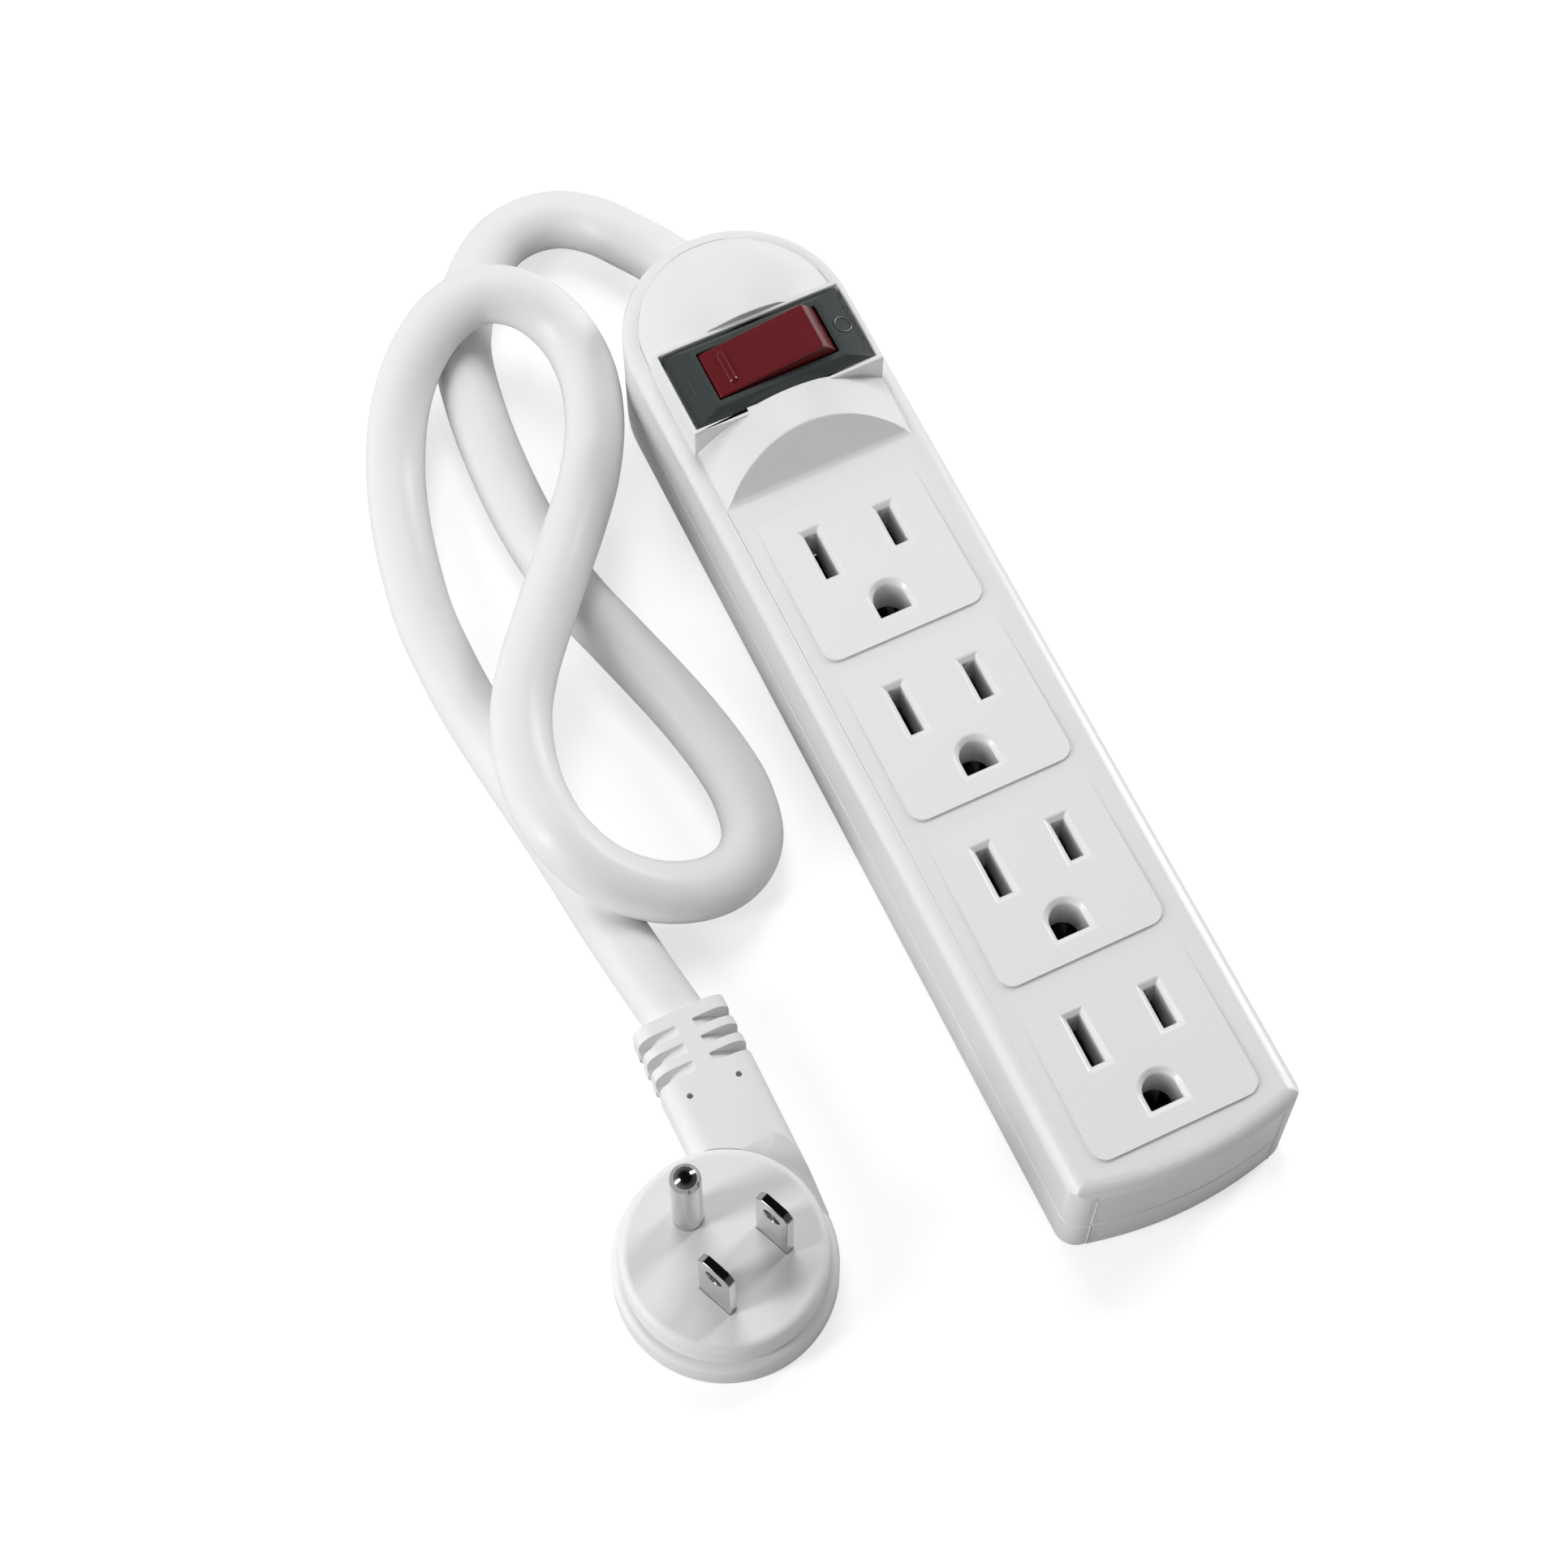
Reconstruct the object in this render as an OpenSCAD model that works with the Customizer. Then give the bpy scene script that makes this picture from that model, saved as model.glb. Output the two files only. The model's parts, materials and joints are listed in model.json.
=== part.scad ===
// Four-outlet power strip with a rocker breaker switch, a round cord and a flat moulded plug.
// Millimetres. +Y runs along the strip towards the switch end, +Z is up, and the origin is the
// centre of the flat underside.

/* [Body] */
// Width across the straight sides
body_w = 39; // [37:0.5:41]
// Length over the bowed end and the round end
body_len = 180; // [178:1:184]
// Height of the flat top face
body_h = 25.2; // [24.6:0.1:26]
// Height of the seam between the two covers
seam_z = 9.5; // [9:0.5:11]
// Wall thickness of both covers
wall = 2; // [1.6:0.1:2.4]
// Radius of the top edge
edge_r = 2.7; // [2:0.1:3]
// Radius of the bowed end, seen from above
bow_r = 65; // [55:5:90]
// Radius of the two corners beside the bowed end
corner_r = 3.6; // [3.2:0.1:5]

/* [Outlets] */
// Number of outlets
outlet_count = 4; // [2:1:4]
// Distance from one outlet to the next
outlet_pitch = 30.5; // [29:0.5:31]
// Place of the first outlet's blade slots, along Y
first_outlet_y = 26.1; // [25:0.1:27]
// Length of the neutral slot
neutral_slot = 8.3; // [8:0.1:8.6]
// Length of the live slot
live_slot = 6.8; // [6.6:0.1:7]
// Width of both slots
slot_w = 2.2; // [2:0.1:2.4]
// Radius of the earth hole's round side
earth_r = 2.7; // [2.6:0.05:2.8]
// Distance from the earth hole's centre to its flat side
earth_flat = 2.45; // [2.4:0.05:2.6]
// Bevel round every outlet hole
hole_bevel = 0.9; // [0.5:0.1:1]
// Side of the raised pad round an outlet
pad_side = 27.8; // [26:0.1:28]
// Height of a pad's near edge above the top face
pad_rise = 0.5; // [0.3:0.1:0.7]

/* [Switch] */
// Centre of the switch, along Y
switch_y = 59.6; // [59.4:0.1:59.8]
// Radius of the arched hood over the switch end
hood_r = 22.2; // [22:0.1:22.4]
// Height of the hood's crest
hood_h = 32.7; // [32.5:0.1:33]
// Half width of the hood
hood_half = 16.85; // [16.7:0.05:17]
// Height of the flat frame round the switch
frame_h = 31.5; // [31.3:0.1:31.7]
// Radius of the rocker's ends about its pivot
rocker_r = 11.75; // [11.6:0.05:11.8]
// Width of the rocker
rocker_w = 8.8; // [8.4:0.1:9]
// Height of the rocker's flat top above its pivot
rocker_top = 7.3; // [7.1:0.1:7.4]
// Height of the pivot above the underside
pivot_z = 26.8; // [26.6:0.1:27]
// Angle of the rocker either side of level
rocker_tilt = 8.7; // [7:0.1:9]

/* [Cord and plug] */
// Diameter of the cord
cord_d = 10; // [9.6:0.1:10]
// Height of the cord where it leaves the strip
exit_z = 8; // [7.8:0.1:8.4]
// Centre of the plug, along X
plug_x = -68; // [-69:0.5:-67]
// Centre of the plug, along Y
plug_y = -68; // [-69:0.5:-67]
// Turn of the pins from the neck's direction
pin_turn = 22.5; // [0:22.5:45]
// Radius of the plug's round back
plug_r = 17.5; // [17:0.1:18]
// Radius of the plug's face
face_r = 16; // [15.5:0.1:16.3]
// Height of the plug's face
face_h = 12.8; // [12.5:0.1:13.2]
// Height of the step between the plug's back and face
step_h = 6.3; // [6:0.1:6.6]
// Width of the neck
neck_w = 15.5; // [15:0.1:16]
// Height of the neck
neck_h = 12; // [11.8:0.1:12.2]

/* [Hidden] */
$fn = 96;
eps = 0.01;
half_w = body_w / 2;
half_len = body_len / 2;
head_y = half_len - half_w;
bow_y = bow_r - half_len;
corner_x = half_w - corner_r;
corner_y = bow_y - sqrt(pow(bow_r - corner_r, 2) - pow(corner_x, 2));
outlet_ys = [for (i = [0 : outlet_count - 1]) first_outlet_y - i * outlet_pitch];
// the three plug holes keep the common spacing, so that a plug fits
blade_gap = 12.7;
earth_drop = 11.9;
blade_x = blade_gap / 2;
pad_far = 9.2;
pad_r = 2.5;
hood_z = hood_h - hood_r;
hood_near = 39.1;
hood_lean = 36.5;
frame_half = [17, 8.4];
pocket_half = [16.2, 7.5];
ledge_z = 29.3;
ledge_half = [14.3, 6.7];
screws = [[-14, -74], [14, -74], [-14, 10.8], [14, 10.8], [-10.5, 76.5], [10.5, 76.5]];
boss_r = 3.3;
screw_r = 1.45;
head_recess_r = 3.1;
head_z = 3.2;
boss_foot = 7;
keyholes = [-62, 34];
keyhole_r = 4;
keyhole_slot = 4.2;
bushing_r = 6.2;
flange_r = 7;
flange_at = [half_len - 4.6, half_len - 2.8];
bushing_in = 12;
bushing_out = 6;
sleeve_r = 5.9;
bus_z = 4;
bus_t = 0.6;
bus_w = 4;
earth_w = 4.6;
bus_near = outlet_ys[outlet_count - 1] - earth_drop - 3.5;
bus_far = first_outlet_y + 8;
leaf_t = 0.5;
leaf_h = 16;
well_z = 17;
well_wall = 0.8;
hole_depth = body_h + 0.4 - well_z;
gap_h = 0.6;
gap_depth = 0.35;
leaf_w = 6;
blade_grip = 1.3;
earth_grip = 4.5;
case_half = [14, 6.4];
case_z = 10;
cavity_r = rocker_r + 0.3;
cavity_w = rocker_w + 0.6;
plateau_half = [11.4, 5.85];
plateau_z = 32.5;
bezel_half = [15.7, 7.2];
bezel_z = 30.9;
pin_r = 1;
arm_drop = 10.6;
arm_half = 8;
arm_t = 0.8;
earth_pin_at = 7.4;
pin_line_at = earth_drop - earth_pin_at;
blade_w = 6.35;
blade_t = 1.5;
blade_len = 15.9;
earth_pin_r = 2.4;
earth_pin_len = 20.6;
earth_root_r = 2;
root_len = 3.5;
neck_x = plug_r - neck_w / 2;
neck_end = 38;
neck_r = 3.2;
ramp_y = 13.5;
ramp = atan((neck_h - step_h + 0.3) / ramp_y);

// The cord's centreline from inside the round end to the plug's neck, each point [x, y, z]
route = [
  [0, 80, 8], [0, 86, 8], [0, 92, 8], [-2, 98, 7.5], [-5.5, 105, 6], [-9, 110.5, 5.2],
  [-14, 114.5, 5], [-20, 115.8, 5], [-26, 114.5, 5], [-32, 110, 5], [-37, 103.5, 5],
  [-40.5, 96, 5], [-42.5, 86, 5], [-43.5, 76, 5], [-43.8, 65, 5], [-43.2, 55, 5],
  [-41.5, 45, 5], [-39, 36, 5], [-36.2, 26, 5], [-34, 17, 5], [-32.5, 8, 5], [-32.3, 1, 5],
  [-34, -6, 5.3], [-38.5, -10.5, 6.2], [-45, -11.8, 7.6], [-52.5, -9.8, 10], [-59, -4.8, 13],
  [-62.7, 2.5, 15], [-63.6, 10, 15.2], [-62.6, 18, 15.2], [-60, 25.5, 15.2], [-56, 32, 15.2],
  [-50.3, 39, 15.2], [-44.3, 46, 15.2], [-38, 53.5, 14.2], [-31.5, 62.3, 12.4],
  [-26.3, 72, 11.3], [-23.7, 81.5, 11.3], [-24.4, 90, 12.6], [-28.3, 96.6, 14.5],
  [-34.5, 100.2, 15.2], [-41.6, 99.5, 14.2], [-48.5, 96, 11.4], [-54.4, 90, 8.2],
  [-59, 81.8, 5.8], [-62.3, 72.5, 5], [-64.6, 62.5, 5], [-66, 53, 5], [-66.2, 43, 5],
  [-65.8, 34, 5], [-64.7, 24, 5], [-63.3, 13, 5], [-62, 2, 5], [-60.9, -9, 5.1],
  [-59.6, -20, 5.6], [-58.4, -29, 6], [-58.25, -36, 6]
];

// ---- shared shapes ----

// Half of a section across the strip, w wide, with a rounded upper corner
module rim_section(w, low, high, r) {
  translate([0, low]) square([w - r, high - low]);
  translate([0, low]) square([w, high - low - r]);
  translate([w - r, high - r]) intersection() {
    circle(r);
    square(r);
  }
}

// A straight bar with two rounded upper edges, from y = near to y = far
module rounded_bar(near, far, low, high, r) {
  translate([0, far, 0]) rotate([90, 0, 0]) linear_extrude(far - near) {
    rim_section(half_w, low, high, r);
    mirror([1, 0]) rim_section(half_w, low, high, r);
  }
}

// The strip's outline carried from low to high, with a rounded upper edge r
module strip_solid(low, high, r) {
  rounded_bar(corner_y, head_y, low, high, r);
  translate([0, head_y, 0]) rotate_extrude(angle = 180) rim_section(half_w, low, high, r);
  intersection() {
    rounded_bar(-half_len - 2, corner_y, low, high, r);
    translate([0, bow_y, 0]) rotate_extrude() rim_section(bow_r, low, high, r);
    linear_extrude(high + 1) strip_outline(0);
  }
}

// The strip's outline as a flat shape, drawn in by inset
module strip_outline(inset) {
  w = half_w - inset;
  translate([-w, corner_y]) square([2 * w, head_y - corner_y]);
  translate([0, head_y]) circle(w);
  for (side = [-1, 1]) translate([side * corner_x, corner_y]) circle(corner_r - inset);
  intersection() {
    translate([0, bow_y]) circle(bow_r - inset);
    translate([-corner_x, -half_len]) square([2 * corner_x, half_len]);
  }
}

// A box given by its low and high corners
module block(low, high) {
  translate(low) cube(high - low);
}

// A round rod along +Y, centred on y = 0
module rod_y(r, length) {
  rotate([90, 0, 0]) cylinder(r = r, h = length, center = true);
}

// A rectangular hole whose upper rim is bevelled, cut down from z = 0
module bevelled_slot(width, length, depth) {
  translate([-width / 2, -length / 2, -depth]) cube([width, length, depth + 2]);
  bevel_prism(width, length);
}

// The bevel round a rectangular hole: two roof shapes that meet at the corners
module bevel_prism(width, length) {
  intersection() {
    rotate([90, 0, 0]) linear_extrude(length + 4 * hole_bevel, center = true) bevel_section(width);
    rotate([90, 0, 90]) linear_extrude(width + 4 * hole_bevel, center = true) bevel_section(length);
  }
}

module bevel_section(width) {
  reach = width / 2 + hole_bevel + 1;
  polygon([[-width / 2, -hole_bevel], [width / 2, -hole_bevel], [reach, 1], [-reach, 1]]);
}

// The earth hole: a circle with one flat side, bevelled all round
module earth_hole(depth) {
  translate([0, 0, -depth]) linear_extrude(depth + 2) earth_outline(earth_r, earth_flat);
  intersection() {
    union() {
      translate([0, 0, -hole_bevel]) cylinder(r1 = earth_r, r2 = earth_r + hole_bevel + 1, h = hole_bevel + 1);
      rotate([90, 0, 0]) linear_extrude(earth_flat + hole_bevel + 1) bevel_section(2 * earth_r);
    }
    rotate([90, 0, 90]) linear_extrude(20, center = true)
      polygon([[-earth_flat, -hole_bevel], [10, -hole_bevel], [10, 1], [-earth_flat - hole_bevel - 1, 1]]);
  }
}

module earth_outline(r, flat) {
  intersection() {
    union() {
      circle(r);
      translate([-r, -r]) square([2 * r, r]);
    }
    translate([-r, -flat]) square([2 * r, flat + r]);
  }
}

// ---- swept tubes ----

function unit(v) = v / norm(v);
// A Catmull-Rom spline through the points p, with steps pieces to each span
function bend(a, b, c, d, t) =
  0.5 * ((2 * b) + (c - a) * t + (2 * a - 5 * b + 4 * c - d) * t * t + (3 * b - a - 3 * c + d) * t * t * t);
function spline(p, steps) = let (n = len(p)) concat(
  [for (i = [0 : n - 2], k = [0 : steps - 1])
    bend(p[max(i - 1, 0)], p[i], p[i + 1], p[min(i + 2, n - 1)], k / steps)], [p[n - 1]]);
function heading(p, i) = unit(p[min(i + 1, len(p) - 1)] - p[max(i - 1, 0)]);
// One ring of a tube: its side vectors stay level, so the tube never twists
function ring(p, i, r, sides) = let (t = heading(p, i), u = unit(cross([0, 0, 1], t)), v = cross(t, u))
  [for (k = [0 : sides - 1]) p[i] + r * (u * cos(360 * k / sides) + v * sin(360 * k / sides))];

// A round tube of radius r swept along the points p
module tube(p, r, sides) {
  n = len(p);
  rings = [for (i = [0 : n - 1]) each ring(p, i, r, sides)];
  skin = [for (i = [0 : n - 2], k = [0 : sides - 1]) let (a = i * sides + k, b = i * sides + (k + 1) % sides)
    each [[a, a + sides, b + sides], [a, b + sides, b]]];
  ends = [[for (k = [0 : sides - 1]) k], [for (k = [0 : sides - 1]) (n - 1) * sides + sides - 1 - k]];
  polyhedron(rings, concat(skin, ends), convexity = 10);
}

// ---- covers ----

module hood() {
  intersection() {
    union() {
      translate([0, head_y, hood_z]) rotate([90, 0, 0]) cylinder(r = hood_r, h = head_y - hood_near + 12, $fn = 192);
      translate([0, head_y, hood_z]) sphere(hood_r, $fn = 192);
    }
    translate([0, 0, body_h - 2]) linear_extrude(12) {
      translate([-hood_half, hood_near - 4]) square([2 * hood_half, head_y - hood_near + 4]);
      translate([0, head_y]) circle(hood_half);
    }
    translate([0, hood_near, body_h - 0.7]) rotate([-hood_lean, 0, 0]) translate([-30, 0, -30]) cube([60, 80, 60]);
  }
}

module outlet_pad(y) {
  lean = atan(pad_rise / pad_side);
  intersection() {
    translate([0, y, 0]) linear_extrude(40) {
      translate([-pad_side / 2, pad_far - pad_side + pad_r]) square([pad_side, pad_side - pad_r]);
      translate([-pad_side / 2 + pad_r, pad_far - pad_side]) square([pad_side - 2 * pad_r, pad_side]);
      for (side = [-1, 1]) translate([side * (pad_side / 2 - pad_r), pad_far - pad_side + pad_r]) circle(pad_r);
    }
    translate([0, y + pad_far, body_h]) rotate([-lean, 0, 0]) block([-20, -40, -1], [20, 0, 0]);
  }
}

// Short walls inside the cover that guide a plug's blades and pin
module outlet_wells(y) {
  well(-blade_x, y, slot_w, neutral_slot);
  well(blade_x, y, slot_w, live_slot);
  well(0, y - earth_drop, 2 * earth_r, 2 * earth_flat);
  translate([0, y - earth_drop, well_z]) cylinder(r = earth_r + well_wall, h = body_h - 1 - well_z);
}

module well(x, y, width, length) {
  half = [width / 2 + well_wall, length / 2 + well_wall];
  block([x - half[0], y - half[1], well_z], [x + half[0], y + half[1], body_h - 1]);
}

// The hollow between the switch pocket and the cavity below, as a box on the switch centre
module switch_block(half, low, high) {
  block([-half[0], switch_y - half[1], low], [half[0], switch_y + half[1], high]);
}

module screw_bosses(low, high, r) {
  for (s = screws) translate([s[0], s[1], low]) cylinder(r = r, h = high - low);
}

module cord_passage() {
  translate([0, half_len - 2, exit_z]) rod_y(bushing_r, 8);
  translate([0, (flange_at[0] + flange_at[1]) / 2, exit_z]) rod_y(flange_r, flange_at[1] - flange_at[0]);
}

module top_cover() color("white") difference() {
  union() {
    difference() {
      strip_solid(seam_z, body_h, edge_r);
      translate([0, 0, seam_z - 1]) linear_extrude(body_h - seam_z + 1 - wall) strip_outline(wall);
    }
    difference() {
      union() {
        hood();
        switch_block(frame_half, body_h - 1.5, frame_h);
      }
      block([-20, switch_y - pocket_half[1] - 0.1, frame_h], [20, switch_y + frame_half[1] - 0.25, 40]);
    }
    for (y = outlet_ys) {
      outlet_pad(y);
      outlet_wells(y);
    }
    screw_bosses(boss_foot, body_h - 1, boss_r);
  }
  // room below the hood
  intersection() {
    translate([0, head_y, hood_z]) union() {
      rotate([90, 0, 0]) cylinder(r = hood_r - wall, h = head_y - hood_near - 9, $fn = 192);
      sphere(hood_r - wall, $fn = 192);
    }
    block([-14, 50, body_h - wall - eps], [14, 72.5, 40]);
  }
  switch_block(pocket_half, ledge_z, 40);
  switch_block(ledge_half, 20, 40);
  for (y = outlet_ys) translate([0, y, body_h + pad_rise / 3]) {
    translate([-blade_x, 0, 0]) bevelled_slot(slot_w, neutral_slot, hole_depth);
    translate([blade_x, 0, 0]) bevelled_slot(slot_w, live_slot, hole_depth);
    translate([0, -earth_drop, pad_rise / 2]) earth_hole(hole_depth + 1);
  }
  screw_bosses(0, body_h - 5, screw_r);
  cord_passage();
  translate([0, 0, seam_z - eps]) linear_extrude(gap_h) difference() {
    strip_outline(-1);
    strip_outline(gap_depth);
  }
}

module bottom_cover() color("whitesmoke") difference() {
  union() {
    difference() {
      linear_extrude(seam_z) strip_outline(0);
      translate([0, 0, wall]) linear_extrude(seam_z) strip_outline(wall);
    }
    screw_bosses(0.5, boss_foot, boss_r + 1);
    for (x = [-3.3, 3.3]) block([x - 0.5, bus_near, wall - eps], [x + 0.5, bus_far, 8.5]);
    for (y = outlet_ys, x = [-blade_x, 0, blade_x]) block([x - 1.8, y - 7, wall - eps], [x + 1.8, y - 5.5, bus_z]);
  }
  for (s = screws) translate([s[0], s[1], -1]) {
    cylinder(r = head_recess_r, h = head_z + 2.8);
    cylinder(r = screw_r + 0.2, h = 20);
  }
  for (y = keyholes) translate([0, y, -1]) {
    cylinder(r = keyhole_r, h = wall + 2);
    translate([-keyhole_slot / 2, 0, 0]) cube([keyhole_slot, 7, wall + 2]);
    translate([0, 7, 0]) cylinder(r = keyhole_slot / 2, h = wall + 2);
  }
  cord_passage();
}

module housing_screws() color("silver") for (s = screws) translate([s[0], s[1], 0]) difference() {
  union() {
    translate([0, 0, head_z]) cylinder(r = 2.8, h = 1.8);
    translate([0, 0, head_z + 1]) cylinder(r = screw_r, h = body_h - 6 - head_z - 1);
  }
  for (turn = [0, 90]) rotate([0, 0, turn]) block([-1.6, -0.35, head_z - 1], [1.6, 0.35, head_z + 1]);
}

// ---- switch ----

// The dark case: a bezel with sloping margins above, a hollow box below
module switch_case() color("darkslategray") difference() {
  union() {
    intersection() {
      rotate([90, 0, 0]) linear_extrude(300, center = true) bezel_section(bezel_half[0], plateau_half[0]);
      translate([0, switch_y, 0]) rotate([90, 0, 90]) linear_extrude(60, center = true)
        bezel_section(bezel_half[1], plateau_half[1]);
    }
    switch_block(case_half, case_z, ledge_z + 0.5);
  }
  translate([0, switch_y, pivot_z]) rod_y(cavity_r, cavity_w);
  switch_block([11, cavity_w / 2], case_z + 1.5, pivot_z);
  translate([0, switch_y, pivot_z]) rod_y(pin_r, 40);
  for (x = [0, arm_half - 0.8]) block([x - 1.6, switch_y - 0.9, case_z - 1], [x + 1.6, switch_y + 0.9, case_z + 3]);
}

module bezel_section(outer, inner) {
  polygon([[-outer, ledge_z], [outer, ledge_z], [outer, bezel_z], [inner, plateau_z], [-inner, plateau_z], [-outer, bezel_z]]);
}

// Everything that turns with the rocker is drawn level about the pivot, then tilted to the pressed side
module on_rocker() {
  translate([0, switch_y, pivot_z]) rotate([0, -rocker_tilt, 0]) children();
}

module rocker() color("darkred") on_rocker() difference() {
  union() {
    intersection() {
      rod_y(rocker_r, rocker_w);
      block([-20, -10, -1], [20, 10, rocker_top]);
    }
    block([-2.6, -3, -6.5], [2.6, 3, 0]);
  }
  difference() {
    intersection() {
      rod_y(rocker_r - 1.5, rocker_w - 3);
      block([-20, -10, -2], [20, 10, rocker_top - 1.8]);
    }
    block([-2.6, -10, -10], [2.6, 10, 10]);
  }
  rod_y(pin_r + 0.05, 20);
  translate([0, 0, -7]) cylinder(r = 1.5, h = 5.2);
}

module rocker_pin() color("silver") translate([0, switch_y, pivot_z]) rod_y(pin_r, 2 * case_half[1]);

module rocker_plunger() color("silver") on_rocker() {
  translate([0, 0, -8.1]) cylinder(r = 1.4, h = 2.8);
  translate([0, 0, -8.1]) sphere(1.4);
}

module rocker_spring() color("gray") on_rocker() {
  turns = 4;
  coil = [for (k = [0 : 12 * turns]) [1.1 * cos(30 * k), 1.1 * sin(30 * k), -5.2 + 3.2 * k / (12 * turns)]];
  tube(coil, 0.18, 6);
}

// A see-saw contact below the plunger, drawn level about its own knife edge, then tilted
module contact_arm() color("peru") translate([0, switch_y, pivot_z - arm_drop]) rotate([0, rocker_tilt, 0]) {
  block([-arm_half, -2, 0], [arm_half, 2, arm_t]);
  for (x = [-arm_half + 1, arm_half - 1]) translate([x, 0, -0.6]) cylinder(r = 1.1, h = 0.7);
}

module line_terminal() color("peru") {
  contact_x = (arm_half - 1) * cos(rocker_tilt);
  contact_z = pivot_z - arm_drop - (arm_half - 1) * sin(rocker_tilt) - 1.1;
  foot_z = case_z + 1.5;
  block([contact_x - 1.4, switch_y - 1.6, contact_z - 0.6], [contact_x + 2.2, switch_y + 1.6, contact_z]);
  block([contact_x + 1.4, switch_y - 1.6, foot_z], [contact_x + 2.2, switch_y + 1.6, contact_z]);
  block([contact_x - 1.4, switch_y - 1.6, foot_z], [contact_x + 2.2, switch_y + 1.6, foot_z + 0.6]);
  block([contact_x - 0.6, switch_y - 0.8, case_z - 5.5], [contact_x + 0.2, switch_y + 0.8, foot_z + 0.3]);
}

module load_terminal() color("peru") {
  foot_z = case_z + 1.5;
  block([-1.4, switch_y - 1.6, foot_z], [1.4, switch_y + 1.6, foot_z + 0.8]);
  block([-0.4, switch_y - 0.8, case_z - 5.5], [0.4, switch_y + 0.8, foot_z + 0.4]);
  translate([0, switch_y, foot_z + 0.4]) rotate([90, 0, 0]) linear_extrude(3, center = true)
    polygon([[-1.2, 0], [1.2, 0], [0, pivot_z - arm_drop - 0.3 - foot_z - 0.4]]);
}

// ---- conductors ----

// One spring leaf beside a pin, flared at its mouth; gap is the clear width between a pair
module leaf_pair(gap, width) {
  rotate([90, 0, 0]) linear_extrude(width, center = true) for (side = [0, 1]) mirror([side, 0])
    polygon([
      [gap / 2, bus_z], [gap / 2 + leaf_t, bus_z], [gap / 2 + leaf_t, leaf_h - 2],
      [gap / 2 + leaf_t + 0.6, leaf_h], [gap / 2 + 0.6, leaf_h], [gap / 2, leaf_h - 2]
    ]);
}

module bus(x, width, drop, gap) {
  block([x - width / 2, bus_near, bus_z], [x + width / 2, bus_far, bus_z + bus_t]);
  for (y = outlet_ys) translate([x, y - drop, 0]) leaf_pair(gap, leaf_w - (drop > 0 ? 1.4 : 0));
}

module live_bus() color("goldenrod") bus(blade_x, bus_w, 0, blade_grip);

module neutral_bus() color("goldenrod") bus(-blade_x, bus_w, 0, blade_grip);

module earth_bus() color("goldenrod") {
  bus(0, earth_w, earth_drop, earth_grip);
  for (y = outlet_ys, side = [-1, 1])
    block([side * 2.5 - 0.3, y - earth_drop - 2, bus_z], [side * 2.5 + 0.3, y - earth_drop + 2, bus_z + bus_t]);
}

// An insulated wire through the points p
module wire(p) {
  tube(spline(p, 4), 1.3, 8);
}

module live_wire() color("black") wire([
  [2, 80, 9.2], [2.4, 76, 9.2], [5, 72.5, 9], [8.8, 69.5, 8], [12.3, 66, 6.5], [12.6, 62, 5.8], [10.5, 59.8, 5.6],
  [7.1, 59.6, 5.6]
]);

module switched_wire() color("black") wire([
  [0, 58.8, 5.8], [0.8, 54, 5.8], [4.5, 48, 6], [6.35, 42, 6], [6.35, 36, 5.85], [6.35, 31, 5.85]
]);

module neutral_wire() color("white") wire([
  [-2, 80, 9.2], [-2.2, 76, 9], [-4.6, 72.5, 8], [-8.5, 69, 6.8], [-13, 65, 6], [-15, 58, 5.5], [-13.5, 50, 5.5],
  [-9, 43, 5.8], [-6.35, 37, 5.85], [-6.35, 31, 5.85]
]);

module earth_wire() color("green") wire([
  [0, 80, 5.7], [0, 76, 5.7], [-3.5, 69, 5.6], [-6, 62, 5.6], [-5.5, 54, 5.6], [-2, 45, 5.7],
  [0, 38, 5.85], [0, 31, 5.85]
]);

// ---- cord and plug ----

module cord_bushing() color("white") translate([0, 0, exit_z]) rotate([-90, 0, 0]) rotate_extrude()
  polygon([
    [cord_d / 2, half_len - wall - bushing_in], [sleeve_r, half_len - wall - bushing_in],
    [sleeve_r, flange_at[0]], [flange_r, flange_at[0]], [flange_r, flange_at[1]], [bushing_r, flange_at[1]],
    [bushing_r, half_len + 0.6], [cord_d / 2 + 0.5, half_len + bushing_out], [cord_d / 2, half_len + bushing_out]
  ]);

module cord() color("white") tube(spline(route, 1), cord_d / 2, 10);

// Anything on the plug is drawn about the plug's centre, at floor level
module on_plug() {
  translate([plug_x, plug_y, 0]) children();
}

// Anything on the pins is drawn about the earth pin's direction, +Y before the turn
module on_pins() {
  on_plug() rotate([0, 0, pin_turn]) children();
}

// A bar along +Y with four rounded long edges
module neck_bar(width, height, r, length) {
  translate([0, length, 0]) rotate([90, 0, 0]) linear_extrude(length) {
    translate([-width / 2 + r, 0]) square([width - 2 * r, height]);
    translate([-width / 2, r]) square([width, height - 2 * r]);
    for (x = [-1, 1], z = [r, height - r]) translate([x * (width / 2 - r), z]) circle(r);
  }
}

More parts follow.
